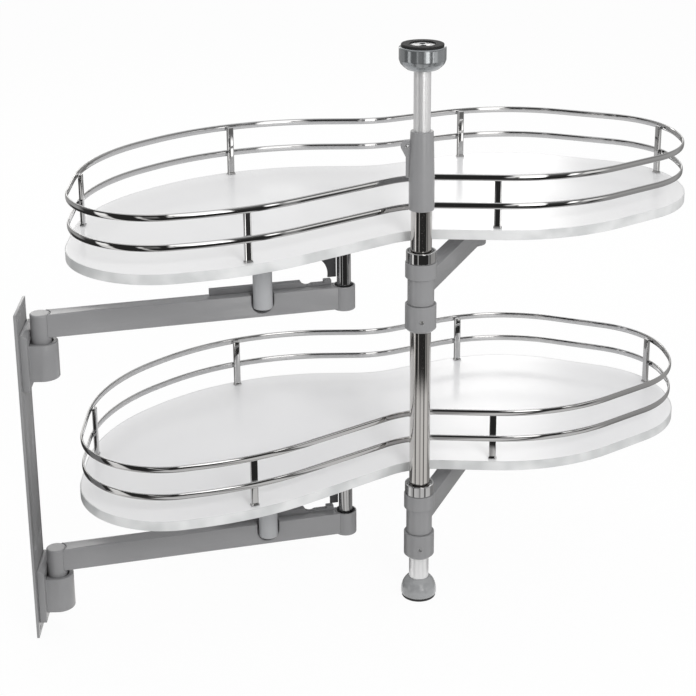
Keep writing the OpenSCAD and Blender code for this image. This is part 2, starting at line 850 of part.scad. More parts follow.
// Ring under the carrier plate, with a bore as wide as the pin's wander
module pivot_housing(tray_z) {
    bore_r = pivot_pin_d / 2 + pivot_wander + 0.8;
    flange_top = tray_z - column_bar_top + 3;
    color(grey)
        translate([housing[0], housing[1], 0])
            tube(flange_top + free_gap, tray_z - board_t - carrier_t, 2 * bore_r + 13, 2 * bore_r);
}

wall_plate();
hinge_bracket(upper_tray_z);  // upper_hinge_bracket
hinge_bracket(lower_tray_z);  // lower_hinge_bracket
bracket_screws();
hinge_bushes();
foot_pad();
foot_cup();
foot_stem();
column_tube();
clamp_sleeve();
clamp_screw();
set_collar(upper_tray_z);  // upper_set_collar
set_collar(lower_tray_z);  // lower_set_collar
grub_screws();
stop_ring(upper_tray_z);  // upper_stop_ring
stop_ring(lower_tray_z);  // lower_stop_ring
inner_tube();
top_cup();
top_pad();
top_disc();
column_hub(upper_tray_z);  // upper_column_hub
column_bar(upper_tray_z);  // upper_column_bar
pivot_pin(upper_tray_z);  // upper_pivot_pin
hub_bush(upper_tray_z);  // upper_hub_bush
column_hub(lower_tray_z);  // lower_column_hub
column_bar(lower_tray_z);  // lower_column_bar
pivot_pin(lower_tray_z);  // lower_pivot_pin
hub_bush(lower_tray_z);  // lower_hub_bush
wall_bar(upper_tray_z);  // upper_wall_bar
wall_barrel(upper_tray_z);  // upper_wall_barrel
wall_knuckle(upper_tray_z);  // upper_wall_knuckle
knuckle_bush(upper_tray_z);  // upper_knuckle_bush
damper(upper_tray_z);  // upper_damper
wall_bar(lower_tray_z);  // lower_wall_bar
wall_barrel(lower_tray_z);  // lower_wall_barrel
wall_knuckle(lower_tray_z);  // lower_wall_knuckle
knuckle_bush(lower_tray_z);  // lower_knuckle_bush
damper(lower_tray_z);  // lower_damper
board(upper_tray_z);  // upper_board
edge_band(upper_tray_z);  // upper_edge_band
rail(upper_tray_z + rail_top - rail_h);  // upper_top_rail
rail(upper_tray_z + mid_rail_z - rail_h / 2);  // upper_mid_rail
posts(upper_tray_z);  // upper_posts
post_screws(upper_tray_z);  // upper_post_screws
carrier_plate(upper_tray_z);  // upper_carrier_plate
tray_pin(upper_tray_z);  // upper_tray_pin
stop_post(upper_tray_z);  // upper_stop_post
catch_bracket(upper_tray_z);  // upper_catch_bracket
pivot_housing(upper_tray_z);  // upper_pivot_housing
board(lower_tray_z);  // lower_board
edge_band(lower_tray_z);  // lower_edge_band
rail(lower_tray_z + rail_top - rail_h);  // lower_top_rail
rail(lower_tray_z + mid_rail_z - rail_h / 2);  // lower_mid_rail
posts(lower_tray_z);  // lower_posts
post_screws(lower_tray_z);  // lower_post_screws
carrier_plate(lower_tray_z);  // lower_carrier_plate
tray_pin(lower_tray_z);  // lower_tray_pin
stop_post(lower_tray_z);  // lower_stop_post
catch_bracket(lower_tray_z);  // lower_catch_bracket
pivot_housing(lower_tray_z);  // lower_pivot_housing
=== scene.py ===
import json
import math

import bmesh
import bpy
import numpy as np
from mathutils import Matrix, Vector


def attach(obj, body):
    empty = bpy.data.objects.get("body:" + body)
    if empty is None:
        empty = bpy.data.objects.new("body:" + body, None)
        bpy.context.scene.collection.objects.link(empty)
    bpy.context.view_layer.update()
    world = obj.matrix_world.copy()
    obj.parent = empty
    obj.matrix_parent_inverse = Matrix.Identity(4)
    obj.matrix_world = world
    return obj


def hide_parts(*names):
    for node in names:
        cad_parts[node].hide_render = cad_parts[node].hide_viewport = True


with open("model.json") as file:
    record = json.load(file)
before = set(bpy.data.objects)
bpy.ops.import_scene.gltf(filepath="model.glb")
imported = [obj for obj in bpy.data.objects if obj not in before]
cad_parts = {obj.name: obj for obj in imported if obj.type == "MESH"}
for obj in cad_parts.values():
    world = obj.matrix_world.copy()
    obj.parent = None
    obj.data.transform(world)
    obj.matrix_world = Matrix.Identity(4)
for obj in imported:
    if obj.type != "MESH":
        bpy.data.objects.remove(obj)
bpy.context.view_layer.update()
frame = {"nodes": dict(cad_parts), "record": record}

# ---- Camera --------------------------------------------------------------------------------------
# Stands in front of the fitting, a little to the left, and looks down on both trays.
looks_down, turns_right = 18.336, 2.646  # degrees
scene = bpy.context.scene
camera = bpy.data.objects.new("camera", bpy.data.cameras.new("camera"))
camera.location = (-0.1291, -1.8220, 1.0681)
camera.rotation_euler = (math.radians(90 - looks_down), 0, math.radians(-turns_right))
camera.data.lens = 85.18
camera.data.sensor_width = 36
camera.data.shift_x = -0.05
camera.data.shift_y = -0.15
scene.collection.objects.link(camera)
scene.camera = camera
scene.view_settings.view_transform = "Standard"

# ---- Studio --------------------------------------------------------------------------------------
# White floor and white surroundings, large soft lamps, and a dome of light and dark cloths that only
# metal and gloss reflect, as they do the dark side of a product studio. None of it is part of the fitting.


def grid_quads(rows, columns, wrap_rows, wrap_columns):
    """Quads of a grid of points stored row by row, joined across its ends where a direction wraps."""
    i = np.arange(rows if wrap_rows else rows - 1)[:, None]
    j = np.arange(columns if wrap_columns else columns - 1)[None, :]
    a, b = i * columns + j, i * columns + (j + 1) % columns
    c, d = (i + 1) % rows * columns + (j + 1) % columns, (i + 1) % rows * columns + j
    return np.stack([a, b, c, d], axis=-1).reshape(-1, 4)


def turned(profile, sides):
    """Surface of revolution on a grid: the point at profile (r, z) and turn t is (r cos t, r sin t, z).
    Returns the points and the quads of the grid, closed round the turn and open along the profile."""
    profile = np.asarray(profile, float)
    t = np.arange(sides) * (2 * math.pi / sides)
    r, z = profile[:, :1], profile[:, 1:]
    points = np.stack([r * np.cos(t), r * np.sin(t), z + 0 * t], axis=-1).reshape(-1, 3)
    return points, grid_quads(len(profile), sides, False, True)


def stage_mesh(name, points, faces, material):
    """Floor or dome as an object that is not part of the fitting."""
    mesh = bpy.data.meshes.new(name)
    mesh.from_pydata(points, [], faces)
    thing = bpy.data.objects.new(name, mesh)
    mesh.materials.append(material)
    scene.collection.objects.link(thing)
    return thing


def studio_floor(white_share):
    """Diffuse white floor with the fitting's shadow on it. The camera, metal and gloss see this share
    of it as plain white, so the shadow stays soft and faint."""
    material = bpy.data.materials.new("studio_floor")
    material.use_nodes = True
    nodes, links = material.node_tree.nodes, material.node_tree.links
    shader = nodes["Principled BSDF"]
    shader.inputs["Base Color"].default_value = (0.9, 0.9, 0.9, 1)
    shader.inputs["Roughness"].default_value = 0.9
    shader.inputs["Specular IOR Level"].default_value = 0.0
    path = nodes.new("ShaderNodeLightPath")
    seen = nodes.new("ShaderNodeMath")
    seen.operation = "MAXIMUM"
    links.new(path.outputs["Is Camera Ray"], seen.inputs[0])
    links.new(path.outputs["Is Glossy Ray"], seen.inputs[1])
    seen_through = nodes.new("ShaderNodeMath")
    seen_through.operation = "MAXIMUM"
    links.new(seen.outputs[0], seen_through.inputs[0])
    links.new(path.outputs["Is Transmission Ray"], seen_through.inputs[1])
    share = nodes.new("ShaderNodeMath")
    share.operation = "MULTIPLY"
    share.inputs[1].default_value = white_share
    links.new(seen_through.outputs[0], share.inputs[0])
    glow = nodes.new("ShaderNodeEmission")
    mix = nodes.new("ShaderNodeMixShader")
    links.new(share.outputs[0], mix.inputs[0])
    links.new(shader.outputs[0], mix.inputs[1])
    links.new(glow.outputs[0], mix.inputs[2])
    links.new(mix.outputs[0], nodes["Material Output"].inputs[0])
    return material


floor_half = 8.0
floor_corners = [(-floor_half, -floor_half, 0), (floor_half, -floor_half, 0),
                 (floor_half, floor_half, 0), (-floor_half, floor_half, 0)]
stage_mesh("floor", floor_corners, [(0, 1, 2, 3)], studio_floor(white_share=0.95))

# White surroundings: their strength as a light, and as the camera sees them
air_light, air_seen = 0.67, 1.0
world = bpy.data.worlds.new("studio_air")
scene.world = world
world.use_nodes = True
air, air_links = world.node_tree.nodes, world.node_tree.links
air_path = air.new("ShaderNodeLightPath")
air_level = air.new("ShaderNodeMapRange")
air_level.inputs["To Min"].default_value = air_light
air_level.inputs["To Max"].default_value = air_seen
air_links.new(air_path.outputs["Is Camera Ray"], air_level.inputs["Value"])
air_links.new(air_level.outputs[0], air["Background"].inputs["Strength"])
air["Background"].inputs["Color"].default_value = (1, 1, 1, 1)

# Dome: (radius, height) in metres, from the floor round the fitting up to its crown
dome_profile = [(0.06, 0.002), (0.4, 0.003), (0.95, 0.012), (1.3, 0.06), (1.7, 0.22), (2.1, 0.55),
                (2.4, 1.0), (2.5, 1.6), (2.2, 2.3), (1.5, 2.8), (0.7, 3.0), (0.0, 3.05)]
# Brightness of four bands of cloth by direction: turn from -180 to 180 degrees, 0 towards the camera,
# plus to the right. The near one lies under the fitting, the low one round it, the middle one stands at
# its height, and the high one above. Over them is an even crown.
near_cloths = [(-180, 0.2), (-118, 0.12), (-104, 0.12), (-98, 0.95), (-76, 0.9), (-70, 0.6), (-58, 0.6),
               (-54, 0.1), (-47, 0.1), (-42, 0.8), (-10, 0.7), (-5, 0.4), (3, 0.4), (8, 0.8), (32, 0.75),
               (36, 0.12), (43, 0.12), (49, 0.8), (84, 0.75), (92, 0.3), (180, 0.3)]
low_cloths = [(-180, 0.3), (-130, 0.35), (-124, 0.05), (-78, 0.03), (-75, 1.0), (-63, 1.0), (-60, 0.03),
              (-30, 0.03), (-28, 0.6), (-24, 0.6), (-22, 0.03), (52, 0.03), (55, 0.35), (62, 0.35),
              (65, 0.05), (70, 0.1), (76, 0.4), (120, 0.45), (135, 0.25), (180, 0.25)]
middle_cloths = [(-180, 0.4), (-104, 0.45), (-94, 0.05), (-80, 0.04), (-77, 1.4), (-66, 1.4), (-62, 0.03),
                 (-33, 0.03), (-30, 0.9), (-27, 0.9), (-24, 0.15), (-9, 0.25), (-6, 0.03), (2, 0.03),
                 (4, 0.8), (9, 0.9), (11, 0.04), (13, 3.0), (29, 3.0), (31, 0.05), (45, 0.05), (47, 2.4),
                 (51, 2.2), (54, 0.25), (57, 1.2), (68, 1.1), (76, 0.5), (120, 0.5), (135, 0.28),
                 (180, 0.28)]
high_cloths = [(-180, 0.55), (-162, 0.55), (-159, 2.6), (-151, 2.6), (-148, 0.55), (-125, 0.45),
               (-110, 0.3), (-92, 0.2), (-84, 0.04), (-20, 0.03), (5, 0.03), (9, 1.8), (28, 1.8),
               (31, 0.2), (66, 0.2), (78, 0.3), (120, 0.45), (150, 0.55), (166, 0.55), (169, 2.6),
               (174, 2.6), (177, 0.55)]
crown_level = 0.8
# Where each band gives way to the next and the last to the crown, in metres: by reach, which is the
# distance from the column's foot, and then by height
band_edges = [("reach", 0.62, 0.70), ("height", 0.13, 0.16), ("height", 0.52, 0.6), ("height", 2.0, 2.3)]


def cloth_ramp(nodes, cloths):
    """Colour ramp over the whole turn from the list of (degrees, brightness)."""
    ramp = nodes.new("ShaderNodeValToRGB")
    stops = ramp.color_ramp.elements
    while len(stops) < len(cloths):
        stops.new(0.5)
    for stop, (turn, level) in zip(stops, cloths):
        stop.position = turn / 360 + 0.5
        stop.color = (level, level * 0.99, level * 0.975, 1)
    return ramp


def dome_cloths():
    """Emission whose brightness follows the direction round the column and the height, on Object
    coordinates."""
    material = bpy.data.materials.new("dome_cloths")
    material.use_nodes = True
    nodes, links = material.node_tree.nodes, material.node_tree.links
    nodes.remove(nodes["Principled BSDF"])
    place = nodes.new("ShaderNodeTexCoord")
    axes = nodes.new("ShaderNodeSeparateXYZ")
    links.new(place.outputs["Object"], axes.inputs[0])
    front = nodes.new("ShaderNodeMath")
    front.operation = "MULTIPLY"
    front.inputs[1].default_value = -1
    links.new(axes.outputs["Y"], front.inputs[0])
    turn = nodes.new("ShaderNodeMath")
    turn.operation = "ARCTAN2"
    links.new(axes.outputs["X"], turn.inputs[0])
    links.new(front.outputs[0], turn.inputs[1])
    spread = nodes.new("ShaderNodeMapRange")
    spread.inputs["From Min"].default_value = -math.pi
    spread.inputs["From Max"].default_value = math.pi
    links.new(turn.outputs[0], spread.inputs["Value"])
    layers = []
    for cloths in (near_cloths, low_cloths, middle_cloths, high_cloths):
        ramp = cloth_ramp(nodes, cloths)
        links.new(spread.outputs[0], ramp.inputs[0])
        layers.append(ramp.outputs[0])
    crown = nodes.new("ShaderNodeRGB")
    crown.outputs[0].default_value = (crown_level, crown_level, crown_level, 1)
    layers.append(crown.outputs[0])
    reach = nodes.new("ShaderNodeVectorMath")
    reach.operation = "LENGTH"
    links.new(place.outputs["Object"], reach.inputs[0])
    measures = {"reach": reach.outputs["Value"], "height": axes.outputs["Z"]}
    colour = layers[0]
    for (measure, start, end), upper in zip(band_edges, layers[1:]):
        rise = nodes.new("ShaderNodeMapRange")
        rise.inputs["From Min"].default_value = start
        rise.inputs["From Max"].default_value = end
        links.new(measures[measure], rise.inputs["Value"])
        blend = nodes.new("ShaderNodeMix")
        blend.data_type = "RGBA"
        links.new(rise.outputs[0], blend.inputs["Factor"])
        links.new(colour, blend.inputs["A"])
        links.new(upper, blend.inputs["B"])
        colour = blend.outputs["Result"]
    glow = nodes.new("ShaderNodeEmission")
    links.new(colour, glow.inputs["Color"])
    links.new(glow.outputs[0], nodes["Material Output"].inputs[0])
    material.cycles.emission_sampling = "NONE"
    return material


dome = stage_mesh("dome", *turned(dome_profile, sides=96), dome_cloths())
for seen_by in ("camera", "diffuse", "transmission", "volume_scatter", "shadow"):
    setattr(dome, "visible_" + seen_by, False)

# Round soft lamps: name, place and diameter in metres, watts
lamps = [("lamp_front", (0.9, -2.4, 1.9), 1.2, 36), ("lamp_top", (0.4, 0.2, 2.9), 2.2, 6),
         ("lamp_back", (-0.3, 2.3, 2.0), 1.6, 18)]
lamps_aim_at = np.array([0.0, 0.1, 0.35])
for lamp_name, lamp_place, lamp_size, watts in lamps:
    lamp = bpy.data.objects.new(lamp_name, bpy.data.lights.new(lamp_name, "AREA"))
    lamp.data.shape = "DISK"
    lamp.data.size = lamp_size
    lamp.data.energy = watts
    lamp.location = lamp_place
    lamp.rotation_euler = Vector(lamps_aim_at - lamp_place).to_track_quat("-Z", "Y").to_euler()
    lamp.visible_glossy = False
    scene.collection.objects.link(lamp)

# ---- Wall plate and its screws -------------------------------------------------------------------
# Pressed steel strip, 3 mm, that screws to the cabinet's side panel and carries both hinge brackets.
# Satin powder coat in mid grey; the bracket screws come through from behind and are zinc plated.
MM = 0.001
members_of_bodies = frame["record"]["behaviour"]["bodies"]


def grain_group():
    """Shader group for fine surface texture: one noise, stretched by its two scales per metre, gives a
    height and a roughness between two ends, and a slow noise gives patches that vary a colour."""
    group = bpy.data.node_groups.new("grain", "ShaderNodeTree")
    usual = {"Across": 900.0, "Along": 900.0, "Patches": 9.0, "Smooth": 0.3, "Dull": 0.4}
    for name, value in usual.items():
        socket = group.interface.new_socket(name, in_out="INPUT", socket_type="NodeSocketFloat")
        socket.default_value = value
    for name in ("Height", "Roughness", "Patch"):
        group.interface.new_socket(name, in_out="OUTPUT", socket_type="NodeSocketFloat")
    nodes, links = group.nodes, group.links
    given, result = nodes.new("NodeGroupInput"), nodes.new("NodeGroupOutput")
    place = nodes.new("ShaderNodeTexCoord")
    scales = nodes.new("ShaderNodeCombineXYZ")
    for axis, source in (("X", "Across"), ("Y", "Across"), ("Z", "Along")):
        links.new(given.outputs[source], scales.inputs[axis])
    stretched = nodes.new("ShaderNodeVectorMath")
    stretched.operation = "MULTIPLY"
    links.new(place.outputs["Object"], stretched.inputs[0])
    links.new(scales.outputs[0], stretched.inputs[1])
    fine = nodes.new("ShaderNodeTexNoise")
    fine.inputs["Scale"].default_value = 1.0
    fine.inputs["Detail"].default_value = 3.0
    links.new(stretched.outputs[0], fine.inputs["Vector"])
    slow = nodes.new("ShaderNodeTexNoise")
    slow.inputs["Detail"].default_value = 2.0
    links.new(place.outputs["Object"], slow.inputs["Vector"])
    links.new(given.outputs["Patches"], slow.inputs["Scale"])
    rough = nodes.new("ShaderNodeMapRange")
    rough.inputs["From Min"].default_value = 0.3
    rough.inputs["From Max"].default_value = 0.7
    links.new(fine.outputs[0], rough.inputs["Value"])
    links.new(given.outputs["Smooth"], rough.inputs["To Min"])
    links.new(given.outputs["Dull"], rough.inputs["To Max"])
    links.new(fine.outputs[0], result.inputs["Height"])
    links.new(rough.outputs[0], result.inputs["Roughness"])
    links.new(slow.outputs[0], result.inputs["Patch"])
    return group


grain = grain_group()


def surface(name, dark, light, scales, rough, relief, patches=9.0, **plain):
    """Material whose colour drifts between two shades in slow patches, and whose roughness and bump
    follow the grain. Scales are the grain's, across and along, per metre, rough its smoothest and
    dullest roughness, and relief the bump's depth in millimetres. The rest is set on the shader."""
    material = bpy.data.materials.new(name)
    material.use_nodes = True
    nodes, links = material.node_tree.nodes, material.node_tree.links
    shader = nodes["Principled BSDF"]
    for socket, value in plain.items():
        shader.inputs[socket.replace("_", " ")].default_value = value
    texture = nodes.new("ShaderNodeGroup")
    texture.node_tree = grain
    for socket, value in zip(("Across", "Along", "Smooth", "Dull", "Patches"), (*scales, *rough, patches)):
        texture.inputs[socket].default_value = value
    drift = nodes.new("ShaderNodeValToRGB")
    drift.color_ramp.elements[0].position = 0.35
    drift.color_ramp.elements[1].position = 0.65
    drift.color_ramp.elements[0].color = (*dark, 1)
    drift.color_ramp.elements[1].color = (*light, 1)
    links.new(texture.outputs["Patch"], drift.inputs[0])
    links.new(drift.outputs[0], shader.inputs["Base Color"])
    links.new(texture.outputs["Roughness"], shader.inputs["Roughness"])
    bump = nodes.new("ShaderNodeBump")
    bump.inputs["Distance"].default_value = relief * MM
    bump.inputs["Strength"].default_value = 1.0
    links.new(texture.outputs["Height"], bump.inputs["Height"])
    links.new(bump.outputs[0], shader.inputs["Normal"])
    return material


def stands_for(piece, material, node=None):
    """Gives a piece its material and puts it in a CAD node's place: it rides on the same body, and the
    node is hidden. Without a node, it is the one that the piece is named after."""
    node = node or piece.name.removesuffix("_fine")
    piece.data.materials.clear()
    piece.data.materials.append(material)
    body = next(name for name, members in members_of_bodies.items() if node in members)
    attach(piece, body)
    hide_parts(node)


def soften(piece, edge, sharp=28):
    """Rounds the edges that turn by more than a sharp angle in degrees, to a radius in millimetres, and
    keeps the flats flat in the shading."""
    bevel = piece.modifiers.new("soft_edges", "BEVEL")
    bevel.width = edge * MM
    bevel.segments = 3
    bevel.limit_method = "ANGLE"
    bevel.angle_limit = math.radians(sharp)
    bevel.use_clamp_overlap = False
    bevel.harden_normals = True
    return piece


def new_piece(node, shape):
    """Smooth-shaded object at the origin from a bmesh in metres, its doubles merged and its faces
    outwards, named after the node that it refines."""
    bmesh.ops.remove_doubles(shape, verts=shape.verts, dist=1e-7)
    bmesh.ops.recalc_face_normals(shape, faces=shape.faces)
    mesh = bpy.data.meshes.new(node + "_fine")
    shape.to_mesh(mesh)
    shape.free()
    mesh.polygons.foreach_set("use_smooth", np.ones(len(mesh.polygons), bool))
    piece = bpy.data.objects.new(node + "_fine", mesh)
    scene.collection.objects.link(piece)
    return piece


def flat_sided(node, edge):
    """Piece cut from the CAD node's own shape: its loose triangles joined, its flats made whole faces,
    and its edges rounded to a radius in millimetres."""
    same_point, same_flat = 0.015 * MM, math.radians(0.4)
    shape = bmesh.new()
    shape.from_mesh(frame["nodes"][node].data)
    bmesh.ops.remove_doubles(shape, verts=shape.verts, dist=same_point)
    bmesh.ops.dissolve_limit(shape, angle_limit=same_flat, verts=shape.verts, edges=shape.edges)
    return soften(new_piece(node, shape), edge)


powder_coat = surface("powder_coat", (0.25, 0.25, 0.255), (0.275, 0.275, 0.28), scales=(1500, 1500),
                      rough=(0.27, 0.35), relief=0.02, Coat_Weight=0.3, Coat_Roughness=0.22)
zinc = surface("zinc_plate", (0.56, 0.57, 0.58), (0.68, 0.68, 0.67), scales=(700, 2500),
               rough=(0.36, 0.48), relief=0.006, Metallic=1.0)
stands_for(flat_sided("wall_plate", 0.45), powder_coat)
stands_for(flat_sided("bracket_screws", 0.15), zinc)

# ---- Hinge brackets ------------------------------------------------------------------------------
# Two die-cast blocks with a round boss, bolted to the plate; a plastic bush in the boss carries the
# wall arm. Same grey coat as the plate, edges well rounded by the casting.
bush_black = surface("bush_plastic", (0.012, 0.012, 0.013), (0.02, 0.02, 0.021), scales=(800, 800),
                     rough=(0.42, 0.55), relief=0.01)
for level in ("upper", "lower"):
    stands_for(flat_sided(level + "_hinge_bracket", 0.9), powder_coat)
stands_for(flat_sided("hinge_bushes", 0.2), bush_black)

# ---- Wall arms -----------------------------------------------------------------------------------
# Round barrel in the boss, a rectangular cast bar with a round-bottomed pocket for the stop post, and at
# its far end the knuckle that carries the tray's pin. Grey powder coat, black bush in the knuckle.

# Millimetres from here on. A level is a name and the height of its tray's upper face, where its z is 0.
levels = (("upper", 472.0), ("lower", 172.0))
hinge_at = (-439.0, -47.0)
tray_pin_at = (-90.0, 34.0)
barrel_r, barrel_pin_r = 11.75, 7
barrel_top, barrel_foot, barrel_pin_foot = -70, -110.2, -146
knuckle_r, knuckle_mouth_r, knuckle_bore_r = 13.5, 11.5, 8.02
knuckle_top, knuckle_mouth, knuckle_foot = -70, -73.5, -100


def rounded(corners, radius, steps=4):
    """Closed profile with corners rounded by arcs tangent to both sides: an arc's centre lies on the
    corner's bisector, radius / sin(half angle) away. A point just past each arc keeps the flats flat."""
    nearly_straight, arc_share, flat_share, beyond_arc = 1.54, 0.44, 0.48, 0.25
    p = np.asarray(corners, float)
    radii = np.broadcast_to(np.asarray(radius, float), len(p))
    rows = []
    for k, corner in enumerate(p):
        to_a, to_b = p[k - 1] - corner, p[(k + 1) % len(p)] - corner
        len_a, len_b = np.linalg.norm(to_a), np.linalg.norm(to_b)
        u, v = to_a / len_a, to_b / len_b
        half = math.acos(np.clip(u @ v, -1, 1)) / 2
        if radii[k] == 0 or half > nearly_straight:
            rows.append([corner])
            continue
        reach = min(radii[k] / math.tan(half), arc_share * len_a, arc_share * len_b)
        r = reach * math.tan(half)
        centre = corner + (u + v) / np.linalg.norm(u + v) * r / math.sin(half)
        s, e = corner + u * reach - centre, corner + v * reach - centre
        sweep = math.atan2(s[0] * e[1] - s[1] * e[0], s @ e) * np.linspace(0, 1, steps + 1)[:, None]
        arc = centre + s * np.cos(sweep) + np.array([-s[1], s[0]]) * np.sin(sweep)
        before = corner + u * min(reach + beyond_arc, flat_share * len_a)
        after = corner + v * min(reach + beyond_arc, flat_share * len_b)
        rows += [[before], arc, [after]]
    return np.vstack(rows)


def from_points(node, points, faces):
    """Piece from points in millimetres and the faces that join them."""
    mesh = bpy.data.meshes.new("scratch")
    mesh.from_pydata(points * MM, [], faces)
    shape = bmesh.new()
    shape.from_mesh(mesh)
    bpy.data.meshes.remove(mesh)
    return new_piece(node, shape)


def lathe(node, profile, at=(0.0, 0.0), base=0.0, sides=96):
    """Turned piece: a closed profile (r, z), spun round an upright axis at a place and lifted by base.
    One that starts and ends at r = 0 closes at its poles; any other joins its end to its start."""
    profile = np.asarray(profile, float)
    points, faces = turned(profile, sides)
    if profile[0, 0] or profile[-1, 0]:
        faces = grid_quads(len(profile), sides, True, True)
    return from_points(node, points + [*at, base], faces)


barrel = rounded([(0, barrel_pin_foot), (barrel_pin_r, barrel_pin_foot), (barrel_pin_r, barrel_foot),
                  (barrel_r, barrel_foot), (barrel_r, barrel_top), (0, barrel_top)],
                 [0, 0.6, 0, 0.3, 1.8, 0], steps=5)
knuckle = rounded([(knuckle_bore_r, knuckle_foot), (knuckle_r, knuckle_foot), (knuckle_r, knuckle_top),
                   (knuckle_mouth_r, knuckle_top), (knuckle_mouth_r, knuckle_mouth),
                   (knuckle_bore_r, knuckle_mouth)], [0.3, 1.0, 0.9, 0.5, 0.4, 0.3])
for level, top in levels:
    stands_for(flat_sided(level + "_wall_bar", 1.1), powder_coat)
    stands_for(lathe(level + "_wall_barrel", barrel, at=hinge_at, base=top), powder_coat)
    stands_for(lathe(level + "_wall_knuckle", knuckle, at=tray_pin_at, base=top), powder_coat)
    stands_for(flat_sided(level + "_knuckle_bush", 0.2), bush_black)

# ---- Soft-close dampers --------------------------------------------------------------------------
# Grey plastic housing on the rear half of each bar, with a round notch and a hook next to the tray pin.
# Moulded, with a dull skin, and fixed to the bar.
damper_plastic = surface("damper_plastic", (0.18, 0.18, 0.184), (0.205, 0.205, 0.21), scales=(1200, 1200),
                         rough=(0.4, 0.52), relief=0.02)
for level, top in levels:
    stands_for(flat_sided(level + "_damper", 0.5), damper_plastic)

# ---- Foot of the column --------------------------------------------------------------------------
# Domed plastic cup, grey with a soft gloss, over a black rubber sole, and the satin anodised stem that
# stands in the cup and carries the column tube on a spigot.
sole_r, sole_top = 21, 3
foot_r, foot_widest, foot_bore_r, foot_bore_end = 22, 8.5, 12.25, 14
stem_r, stem_bore_r, stem_foot, stem_top = 12.2, 4, 13.8, 57.9
spigot_r, spigot_top = 10.98, 92.9


def wall(bore_r, outer_r, foot, top):
    """Corners of a tube's wall, or of half a disc where the bore is 0: outwards at the foot, then up."""
    return [(bore_r, foot), (outer_r, foot), (outer_r, top), (bore_r, top)]


cup_gloss = surface("cup_gloss", (0.27, 0.285, 0.295), (0.3, 0.315, 0.325), scales=(500, 500),
                    rough=(0.12, 0.2), relief=0.004, Metallic=0.7, Coat_Weight=0.5, Coat_Roughness=0.05)
foot_gloss = surface("foot_plastic", (0.29, 0.295, 0.30), (0.31, 0.315, 0.32), scales=(150, 150),
                     rough=(0.2, 0.26), relief=0.001, Coat_Weight=0.8, Coat_Roughness=0.12)
rubber = surface("sole_rubber", (0.012, 0.012, 0.012), (0.022, 0.022, 0.022), scales=(1600, 1600),
                 rough=(0.6, 0.75), relief=0.05)
satin = surface("satin_aluminium", (0.86, 0.86, 0.865), (0.9, 0.9, 0.905), scales=(2600, 30),
                rough=(0.34, 0.44), relief=0.004, Metallic=0.7)
stands_for(lathe("foot_pad", rounded(wall(0, sole_r, 0, sole_top), [0, 0.8, 0.3, 0])), rubber)
dome_turn = np.radians(np.linspace(0, 54, 19))
foot = np.vstack([[(0, sole_top), (foot_r - 1.8, sole_top), (foot_r - 1.1, sole_top + 0.2),
                   (foot_r - 0.4, sole_top + 0.9), (foot_r, sole_top + 2)],
                  np.column_stack([foot_r * np.cos(dome_turn), foot_widest + foot_r * np.sin(dome_turn)]),
                  [(12.6, 26.7), (foot_bore_r, 26.5), (foot_bore_r, foot_bore_end), (0, foot_bore_end)]])
stands_for(lathe("foot_cup", foot), foot_gloss)
stem = rounded([(stem_bore_r, stem_foot), (stem_r, stem_foot), (stem_r, stem_top), (spigot_r, stem_top),
                (spigot_r, spigot_top), (stem_bore_r, spigot_top)], 0.25)
stands_for(lathe("foot_stem", stem), satin)

# ---- Column tube and its collars -----------------------------------------------------------------
# Drawn steel tube, 25 mm, chromed. Under each tray it carries a grey set collar with a grub screw, on
# which the arm's hub turns, and above the hub a chromed ring.
tube_r, tube_bore_r, tube_top = 12.5, 11, 560
on_tube_r = tube_r + 0.02
collar_r, collar_top, collar_foot, collar_bevel = 18.7, -83.1, -116.1, 3
grub_z, grub_hole_r = -101.25, 2.52
ring_r, ring_lip_r, ring_top, ring_seat, ring_foot = 17.8, 15.6, -17, -20, -30.5


def drilled(piece, holes):
    """Cuts round holes into a piece. Each is a point, the way from it to the hole's end, and a radius."""
    for start, way, radius in holes:
        start, way = Vector(start) * MM, Vector(way) * MM
        cutter = bmesh.new()
        bmesh.ops.create_cone(cutter, cap_ends=True, segments=40, radius1=radius * MM, radius2=radius * MM,
                              depth=way.length)
        mesh = bpy.data.meshes.new("cutter")
        cutter.to_mesh(mesh)
        cutter.free()
        tool = bpy.data.objects.new("cutter", mesh)
        scene.collection.objects.link(tool)
        tool.rotation_mode = "QUATERNION"
        tool.rotation_quaternion = way.to_track_quat("Z", "Y")
        tool.location = start + way / 2
        cut = piece.modifiers.new("hole", "BOOLEAN")
        cut.object = tool
        cut.solver = "EXACT"
        bpy.context.view_layer.objects.active = piece
        bpy.context.view_layer.update()
        bpy.ops.object.modifier_apply(modifier=cut.name)
        bpy.data.objects.remove(tool)
    return piece


def with_rows(profile, gap):
    """The same closed profile with its long sides cut into steps no longer than gap."""
    rows = []
    for a, b in zip(profile, np.roll(profile, -1, axis=0)):
        count = max(1, math.ceil(np.linalg.norm(b - a) / gap))
        rows.append(a + (b - a) * np.linspace(0, 1, count, endpoint=False)[:, None])
    return np.vstack(rows)


